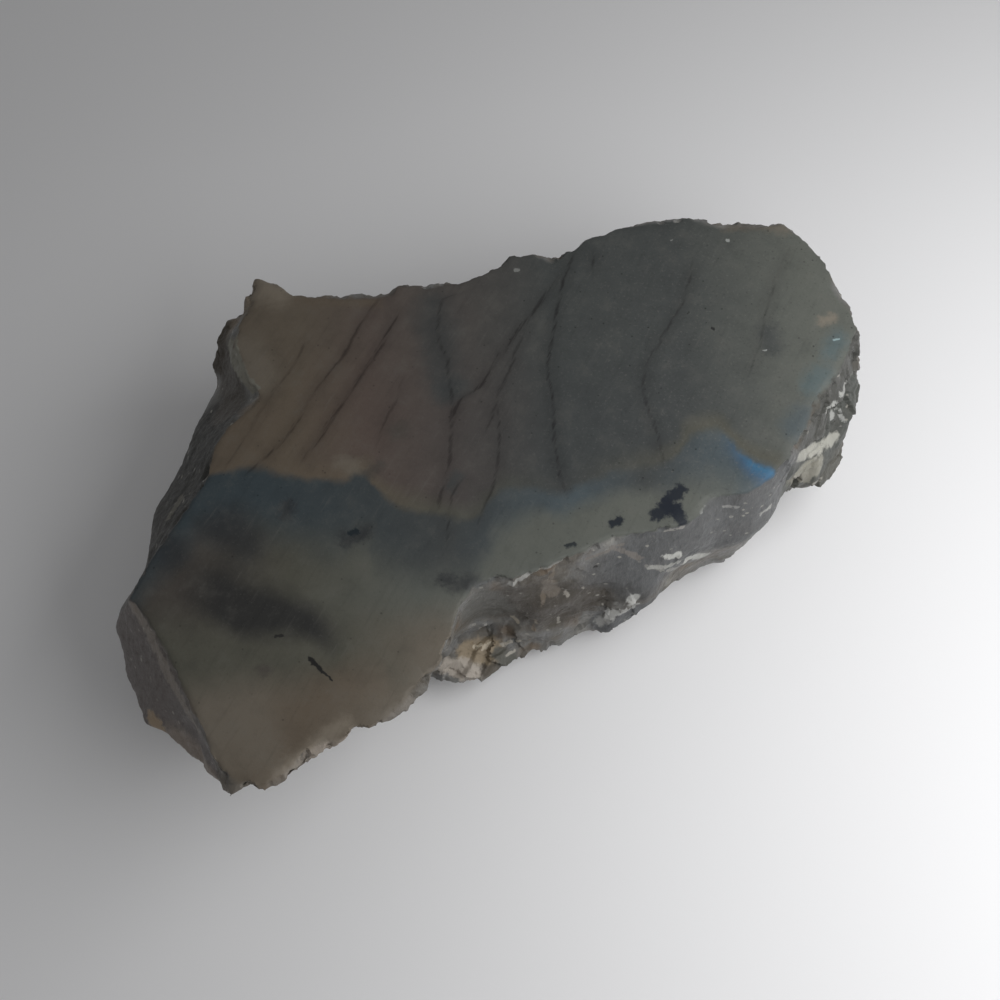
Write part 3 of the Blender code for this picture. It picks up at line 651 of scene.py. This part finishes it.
worn = start.node("ShaderNodeAttribute", {"attribute_name": "worn"}, {}, 2)
patchy = spot.noise(6.5, 4.0, 0.6)
bedded = {"Vector": spot, "Rotation": LAYER_TURN, "Scale": LAYER_SIZE}
layers = spot.node("ShaderNodeMapping", {"vector_type": "TEXTURE"}, bedded).noise(1.0, 4.0, 0.65)
broken = patchy.across_ramp((
    (0.30, (0.090, 0.076, 0.060)), (0.44, (0.132, 0.122, 0.106)), (0.55, (0.170, 0.170, 0.166)),
    (0.68, (0.235, 0.229, 0.212)),
))
rusty, blanched, _ = drift.axes()
broken = broken.painted(rusty.rise(0.06, 0.20) * 0.55, IRON)
broken = broken.painted(blanched.rise(0.10, 0.24) * 0.50, BLANCHED)
broken = broken.painted(layers.rise(0.52, 0.80) * 0.55, BEDDING)
broken = broken.dyed(layers.fall(0.28, 0.45) * 0.55, (0.62, 0.60, 0.57))
broken = broken.marked(drifted, rough, STAINS, 0.30, 0.93)
# Painted shade: the hollows are darkened in the colour.
broken = broken.dyed(worn.fall(-0.34, -0.04) * 0.7, (0.40, 0.38, 0.36))
fresh = worn.rise(0.08, 0.36) * rough.rise(-0.10, 0.15) * height.fall(FACE_HEIGHT - 1.2, FACE_HEIGHT - 0.5)
broken = broken.painted(fresh * 0.60, FRESH)
broken = broken.marked(jagged, rough, CHIPS, 0.30, 0.93)
broken = broken.dyed(rough.rise(0.02, 0.22) * 0.42, (0.56, 0.55, 0.54))
# Painted glints: pale specks on the grains of the broken sides.
broken = broken.painted(grain.rise(0.08, 0.30) * 0.26, GLINT_SPECKS)
long_cells = {"Vector": spot, "Rotation": FLECK_TURN, "Scale": FLECK_SIZE}
flecks = spot.node("ShaderNodeMapping", {"vector_type": "TEXTURE"}, long_cells)
flecks = flecks.node("ShaderNodeTexVoronoi", {}, {"Vector": flecks, "Scale": 1.0}, "Distance")
flecks = (flecks + rough * 0.35).fall(0.10, 0.17) * patchy.rise(0.42, 0.58)
broken = broken.painted(flecks * 0.75, FLECK)

shaders = []
for name, base, finish, bumps in (
    ("broken sides", broken, 0.48 + rough * 0.5, rough * 0.10 + grain * 0.05),
    ("sawn face", colour, 0.50 + rough * 0.25, rough * 0.012 + grain * 0.014),
):
    shader = web.nodes.new("ShaderNodeBsdfPrincipled")
    shader.label = name
    shader.inputs["Specular IOR Level"].default_value = 0.22
    web.links.new(base.socket, shader.inputs["Base Color"])
    web.links.new(finish.socket, shader.inputs["Roughness"])
    bump = start.node("ShaderNodeBump", {}, {"Height": bumps, "Distance": MM, "Strength": 1.0})
    web.links.new(bump.socket, shader.inputs["Normal"])
    shaders.append(Shade(shader.outputs[0]))
sawn = height.rise(FACE_HEIGHT - 0.45, FACE_HEIGHT - 0.12)
both = start.node("ShaderNodeMixShader", {}, {0: sawn, 1: shaders[0], 2: shaders[1]})
web.nodes.remove(web.nodes["Principled BSDF"])
web.links.new(both.socket, web.nodes["Material Output"].inputs["Surface"])
stone.data.materials.append(labradorite)
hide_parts("labradorite_chunk")
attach(stone, "root")


# The floor. A plain pale sheet lies flat on the table under the stone and catches its shadow.
# It is matt paper, far larger than the stone, and belongs to the room and not to the piece.
FLOOR_SIZE = 4.0                     # in metres
bpy.ops.object.select_all(action="DESELECT")
bpy.ops.mesh.primitive_plane_add(size=FLOOR_SIZE, location=(0.0, 0.0, 0.0))
floor = bpy.context.active_object
floor.name = "floor"
paper = bpy.data.materials.new("paper")
paper.use_nodes = True
sheet = paper.node_tree.nodes["Principled BSDF"]
sheet.inputs["Base Color"].default_value = (0.80, 0.80, 0.81, 1.0)
sheet.inputs["Roughness"].default_value = 0.9
floor.data.materials.append(paper)


# The light and the view. A soft window stands low on the right, the room's own light fills the rest,
# and the camera looks down at the sawn face from above the front of the stone.
VIEW_LIFT = math.radians(64.0)
VIEW_WIDTH = math.radians(42.0)
VIEW_DISTANCE = 122.0
SENSOR = 36.0
NEAREST_SEEN = 5.0
WINDOW_SIZE = 200.0
WINDOW_POWER = 0.272
WINDOW_PLACE = (120.0, -35.0, 110.0)   # across the view, away from the camera and above the table
WINDOW_AIM = (135.0, -45.0, 0.0)
ROOM_LIGHT = 0.25


def seen(across, away, height):
    """A point in metres, from its place across the view, away from the camera and above the table."""
    return (TO_BANDS.transposed() @ Vector((across, away, height)) + BAND_ORIGIN) * MM


window = bpy.data.lights.new("window", "AREA")
window.shape = "DISK"
window.size = WINDOW_SIZE * MM
window.energy = WINDOW_POWER
window_object = bpy.data.objects.new("window", window)
window_object.location = seen(*WINDOW_PLACE)
aim = seen(*WINDOW_AIM) - window_object.location
window_object.rotation_euler = aim.to_track_quat("-Z", "Y").to_euler()
window_object.visible_camera = False
bpy.context.scene.collection.objects.link(window_object)

room = bpy.data.worlds.new("room")
room.use_nodes = True
room.node_tree.nodes["Background"].inputs["Color"].default_value = (1.0, 1.0, 1.0, 1.0)
room.node_tree.nodes["Background"].inputs["Strength"].default_value = ROOM_LIGHT
bpy.context.scene.world = room
bpy.context.scene.view_settings.view_transform = "Standard"

camera = bpy.data.cameras.new("camera")
camera.sensor_width = SENSOR
camera.lens = SENSOR / 2.0 / math.tan(VIEW_WIDTH / 2.0)
camera.clip_start = NEAREST_SEEN * MM
camera_object = bpy.data.objects.new("camera", camera)
target = seen(0.0, 0.0, FACE_HEIGHT)
camera_object.location = seen(
    0.0, -VIEW_DISTANCE * math.cos(VIEW_LIFT), FACE_HEIGHT + VIEW_DISTANCE * math.sin(VIEW_LIFT)
)
camera_object.rotation_euler = (target - camera_object.location).to_track_quat("-Z", "Y").to_euler()
bpy.context.scene.collection.objects.link(camera_object)
bpy.context.scene.camera = camera_object
